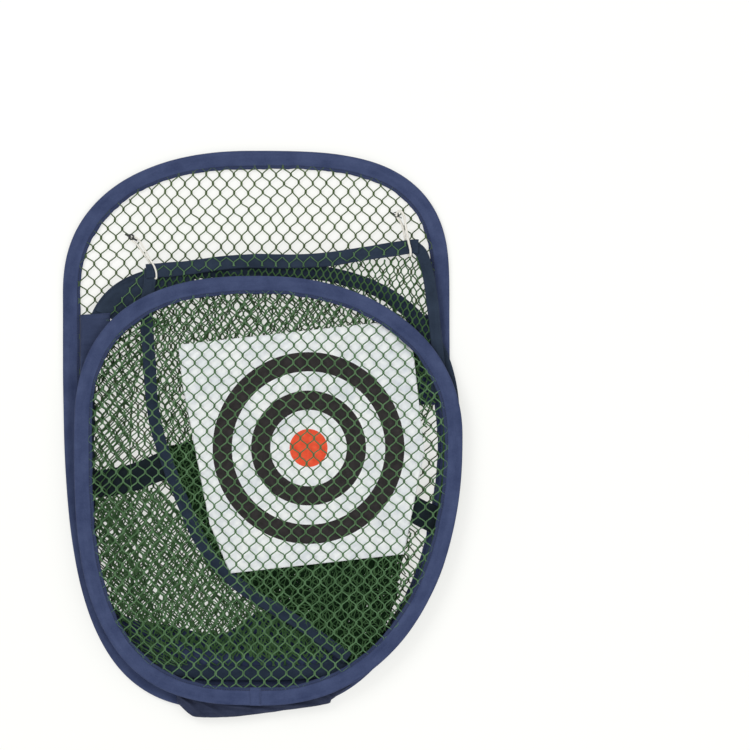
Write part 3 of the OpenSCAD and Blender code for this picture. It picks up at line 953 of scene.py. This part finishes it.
def fold_under(x, y, z, start, end, side):
    line = Vector(end) - Vector(start)
    out = Vector((line.y, -line.x)).normalized() * side
    far = (Vector((x, y)) - Vector(start)).dot(out)
    if far <= 0:
        return x, y, z
    roll = math.pi * FOLD_ROLL
    if far < roll:
        back = far - FOLD_ROLL * math.sin(far / FOLD_ROLL)
        drop = FOLD_ROLL * (1 - math.cos(far / FOLD_ROLL))
    else:
        back, drop = far + (far - roll), 2 * FOLD_ROLL
    return x - out.x * back, y - out.y * back, z - drop


def target_place(u, v):
    a, b = (u - 0.5) * TARGET_SIDE + TARGET_SHIFT[0], (v - 0.5) * TARGET_SIDE + TARGET_SHIFT[1]
    c, s = math.cos(TARGET_TURN), math.sin(TARGET_TURN)
    x, y = RING_MIDDLE[0] + a * c - b * s, RING_MIDDLE[1] + a * s + b * c
    z = TARGET_Z + 0.9 * rough(x, y, 50, 90) + 0.45 * rough(x, y, 52, 34)
    for start, end, side in FOLDS:
        x, y, z = fold_under(x, y, z, start, end, side)
    return x, y, z


target = cloth("target_cloth", TARGET_PRINT, "pocket", ["target_sheet"], 160, 160, target_place,
               (TARGET_SIDE, TARGET_SIDE), thickness=0.5, shift=TARGET_SHIFT)
mm(TARGET_SIDE, TARGET_SIDE)
print("target:", TARGET_SIDE, "mm square, turned under at", len(FOLDS), "lines")

# %% [markdown]
# ## Cross band and walls
# A dark tape crosses behind the target. Solid cloth is sewn to the rear sleeve's inner edge on the
# left, on the right and round the bottom.

# %% Cross band
CROSS_Z = 13.2
cross_route = [(-248, -72, CROSS_Z), (-215, -68, CROSS_Z), (-180, -60, CROSS_Z), (-140, -44, CROSS_Z),
               (-100, -28, CROSS_Z), (0, -16, CROSS_Z), (100, -40, CROSS_Z), (180, -84, CROSS_Z),
               (218, -108, CROSS_Z), (252, -124, CROSS_Z)]
tape("cross_band_tape", cross_route, 38, 1.6, "rear_panel", ["cross_band"], 35, DARK_CLOTH,
     rumple=0.3)

# %% Walls
WALL_Z = 5.4
THIRD_TOP = 8.2
HEM_Y, LEFT_LOW, RIGHT_LOW = 170, -232, 42
HEM_LEFT, LEFT_WIDE = -259, 44
SEWN = SLEEVE_W / 2 - 1


def wall_z(x, y, seed):
    return WALL_Z + 0.4 * rough(x, y, seed, 26) + 0.25 * rough(x, y, seed + 1, 9)


def left_wall_place(u, v):
    y = LEFT_LOW + (HEM_Y - LEFT_LOW) * v
    near = hoop_x(REAR_HOOP, y, -1) + SEWN
    far = min(near + LEFT_WIDE, hoop_x(FRONT_HOOP, y, -1) + 4)
    x = near + (far - near) * u
    hem = 0.6 if HEM_Y - y < 9 else 0.0
    over = THIRD_TOP * min(max(u / 0.1, 0.0), 1.0) * min(max((y + 60) / 60, 0.0), 1.0)
    return x, y + 3 * u, wall_z(x, y, 60) + hem + over


def right_wall_place(u, v):
    y = RIGHT_LOW + (HEM_Y - RIGHT_LOW) * v
    near = hoop_x(REAR_HOOP, y, 1) - SEWN
    x = near - (24 + 14 * v) * u
    return x, y, wall_z(x, y, 64)


BOTTOM_WALL_TOP = [(-237, -228, 0), (-188, -262, 0), (-138, -271, 0), (-60, -284, 0), (0, -252, 0),
                   (50, -266, 0), (92, -294, 0), (128, -326, 0)]


def bottom_wall_place(u, v):
    top = smooth_route(BOTTOM_WALL_TOP, u)
    low = hoop_y(REAR_HOOP, top.x, -1) + SEWN
    y = low + (top.y - low) * v
    return top.x, y, wall_z(top.x, y, 68)


WALLS = [("left_wall_cloth", "lower_wall", left_wall_place, (17, 402), (16, 150)),
         ("right_wall_cloth", "right_wall", right_wall_place, (31, 128), (20, 60)),
         ("bottom_wall_cloth", "bottom_wall", bottom_wall_place, (368, 92), (150, 40))]
for name, node, place, size, cells in WALLS:
    wall = cloth(name, WALL_CLOTH, "rear_panel", [node], *cells, place, size, thickness=0.8)
    mm(*size)
    print(name, "area", round(sum(f.area for f in wall.data.polygons), 4), "of", size[0] * size[1] / 1e6)
hem = [(x, HEM_Y - down + 3 * (x - HEM_LEFT) / LEFT_WIDE,
        left_wall_place((x - HEM_LEFT) / LEFT_WIDE, 1)[2] + 0.6, 0.07)
       for x in range(-255, -214, 4) for down in (1.6, 7.5)]
stitches("wall_hem_stitches", hem, "rear_panel")

# %% [markdown]
# ## Side nets
# A gusset of mesh closes each side. Folded, it lies in two layers with its fold turned inwards.
# Each strand is pressed level for the same reason: a round one would be pulled apart into a sheet.

# %% Side nets
LOW_LAYER, HIGH_LAYER = 9.9, 19.8
GUSSET = 66


def side_net(name, side, node, folded, lean, reach_y, seed):
    def place(x, y):
        upper = x > GUSSET
        depth = (x if not upper else 2 * GUSSET - x) * folded / GUSSET
        z = LOW_LAYER + (HIGH_LAYER - LOW_LAYER) * x / (2 * GUSSET)
        py = y + depth * lean * (1 if upper else -0.8) + 2 * rough(depth, y, seed, 50)
        if not (reach_y[0] < py < reach_y[1] and 0 <= x <= 2 * GUSSET):
            return None
        edge = abs(hoop_x(FRONT_HOOP, py, side)) - 3
        px = side * (edge - depth - 1.5 * rough(depth, y, seed + 3, 45))
        return px, py, z

    piece = net(name, NET_DEEP_SHADED, None, [node], (-6, -350, 2 * GUSSET + 6, 215), PITCH * 0.82,
                ROW * 0.9, 4, TWINE, lambda x, y: True, place, 0.3, seed, flat=True)
    mm(0, 0, LOW_LAYER + 0.4)
    mm(0, 0, HIGH_LAYER - 0.4)
    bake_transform(piece)


side_net("left_side_net_twine", -1, "left_side_net", 66, 0.14, (-330, 165), 81)
side_net("right_side_net_twine", 1, "right_side_net", 11, 0.4, (-300, 120), 91)

# %% [markdown]
# ## Bottom flap
# The two panels are joined by one piece of cloth that folds at the bottom. Its slack hangs out in
# a shallow tongue with a few deep creases.

# %% Bottom flap
FLAP_CUT = (240, 92)
flap_edge = [(-121, -381), (-104, -397), (-87, -401.8), (-36, -400.6), (35, -391.5), (92, -383),
             (100, -376), (126, -356)]
CREASES = [(-128, -362, -82, -402, 1.9), (-112, -368, -50, -401, 1.7), (-66, -381, 34, -396, 1.3),
           (14, -384, 82, -385, 1.2), (84, -362, 104, -377, 1.5), (-96, -378, -20, -388, 1.2)]


def crease_height(x, y):
    """Ridges that fade away on both sides of a few slanting lines."""
    high = 0.0
    for *ends, size in CREASES:
        gap = line_gap(x, y, *ends)
        high += size * math.exp(-((gap / 2.2) ** 2)) - size * 0.7 * math.exp(-(((gap - 4.4) / 2.6) ** 2))
    return high


def flap_place(u, v):
    """v runs from the back layer's top, round the fold at the bottom, to the front layer's top."""
    edge = smooth_route([(*p, 0) for p in flap_edge], u)
    share = abs(v - 0.5) * 2
    y = edge.y + (1 - math.cos(share * math.pi / 2)) * (-356 - edge.y)
    low, high = 8.6, 18.6
    up = 0.5 + 0.5 * math.sin(max(-1, min(1, (v - 0.5) * 5)) * math.pi / 2)
    x = edge.x + 2 * rough(u * 60, v * 40, 70, 14)
    ripple = 0.9 * rough(x * 0.6 + y, y - x * 0.5, 71, 15) + 0.5 * rough(x, y, 72, 7)
    lift = (ripple + crease_height(x, y)) * (0.3 + 0.7 * up)
    return x, y + 0.5 * rough(x, 0, 73, 20), low + (high - low) * up + lift


flap = cloth("bottom_flap_cloth", FLAP_CLOTH, None, ["bottom_flap"], 190, 70, flap_place, FLAP_CUT,
             thickness=0.8)
mm(0, -385, 9.6)
mm(0, -385, 17.6)
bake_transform(flap)
mm(*FLAP_CUT)

# %% [markdown]
# ## Sleeve overlap
# The front sleeve's two ends meet at the bottom, where one is tucked into the other and stitched
# across.

# %% Front sleeve overlap
OVERLAP_AT, OVERLAP_HALF = -9.0, 8.0


def overlap_place(u, v):
    x = OVERLAP_AT + (u - 0.5) * 2 * OVERLAP_HALF
    turn = 0.12 + v * (math.pi - 0.24)
    side = math.cos(turn)
    half = SLEEVE_W / 2
    a = half * side + (0.7 * side if side > 0 else 0)
    bottom = hoop_y(FRONT_HOOP, x, -1)
    high = sleeve_height(a, half, SLEEVE_T) * math.sin(turn) ** (0.75 - 0.5 * max(0.0, side))
    return x, bottom - a, FRONT_Z + SLEEVE_T / 2 + high + 0.25


overlap = cloth("front_sleeve_overlap_cloth", SLEEVE_CLOTH, "front_panel", ["front_sleeve_overlap"],
                10, 30, overlap_place, (16, 20), thickness=0.4, shift=(0, 20))
seam_x = OVERLAP_AT + OVERLAP_HALF - 1.8
bar = [(seam_x, hoop_y(FRONT_HOOP, seam_x, -1) - a,
        FRONT_Z + SLEEVE_T / 2 + sleeve_height(a, SLEEVE_W / 2, SLEEVE_T) + 0.35, math.pi / 2)
       for a in (-10.5, -7, -3.5, 0, 3.5, 7, 10)]
stitches("overlap_stitches", bar, "front_panel", 0.8)

# %% [markdown]
# ## Elastic loops and knots
# White elastic is looped round each end of the band and knotted to the rear net with black thread.


# %% Elastic loops
def cord_piece(name, points, thick, material, body, nodes, closed=True):
    curve = bpy.data.curves.new(name, "CURVE")
    curve.dimensions = "3D"
    curve.bevel_depth = thick / 2 * MM
    curve.bevel_resolution = 3
    curve.resolution_u = 8
    curve.use_fill_caps = True
    spline = curve.splines.new("BEZIER")
    spline.bezier_points.add(len(points) - 1)
    for spot, point in zip(spline.bezier_points, points):
        spot.co = mm(*point)
        spot.handle_left_type = spot.handle_right_type = "AUTO"
    spline.use_cyclic_u = closed
    piece = show_piece(name, mesh_of(curve), material, body, nodes)
    return piece


left_loop = [(-184, 281, 6.5), (-178, 279, 12), (-170, 268, 18), (-160, 250, 19.5),
             (-152, 236, 19.6), (-150, 226, 18.6), (-151, 221.5, 16.8), (-153, 226, 14.2),
             (-157, 238, 13.6), (-168, 256, 13), (-180, 272, 9.5), (-187, 279, 6.6)]
right_loop = [(191, 312, 6.5), (195, 318, 9), (200, 314, 13), (204, 296, 18), (208, 274, 19.8),
              (211, 258, 19.4), (210, 254, 16.8), (207, 260, 14), (203, 280, 13.4), (198, 300, 10),
              (193, 308, 6.8)]
for side, route, thick in (("left", left_loop, 2.6), ("right", right_loop, 3.4)):
    cord = cord_piece(f"elastic_{side}_cord", route, thick, ELASTIC, None, [f"elastic_loop_{side}"])
    mm(0, 0, 7)
    mm(0, 0, 13)
    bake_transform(cord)


def knot(name, x, y, z, nodes, thick):
    turns = [(x + 3.2 * math.cos(t) * (1 - 0.25 * math.sin(2 * t)), y + 3.4 * math.sin(t),
              z + 1.3 * math.sin(1.5 * t + 0.4)) for t in (i * 0.9 for i in range(14))]
    ends = [(x - 9, y + 4, z - 0.6)] + turns + [(x + 8, y - 5, z - 0.8)]
    cord_piece(name, ends, thick, KNOT_THREAD, "rear_panel", nodes, closed=False)


knot("left_knot", -186.5, 281, 6.9, ["loop_knots"], 2.6)
knot("right_knot", 190.5, 313, 6.9, [], 1.3)

# %% [markdown]
# ## Hidden hoop parts
# The spring steel strips and their clips are inside the sleeves. They keep their solids and get a
# steel finish, which shows where the net is taken apart.


# %% Steel
def steel(name, dark, light):
    s = Shader(name)
    lines = s.noise(s.place, 900, 1)
    s.set(Base_Color=s.ramp(s.noise(s.place, 30) * 0.6 + lines * 0.4, (0.3, dark), (0.7, light)))
    s.set(Metallic=1.0, Roughness=lines * 0.15 + 0.28)
    return s.material


STRIP_STEEL = steel("strip_steel", (0.42, 0.43, 0.45), (0.62, 0.63, 0.65))
CLIP_STEEL = steel("clip_steel", (0.34, 0.34, 0.35), (0.5, 0.5, 0.5))
for name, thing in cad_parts.items():
    if name.endswith(("_strip", "_clip")):
        print(name, "keeps its solid")
        for k in range(len(thing.material_slots)):
            thing.material_slots[k].material = STRIP_STEEL if name.endswith("_strip") else CLIP_STEEL
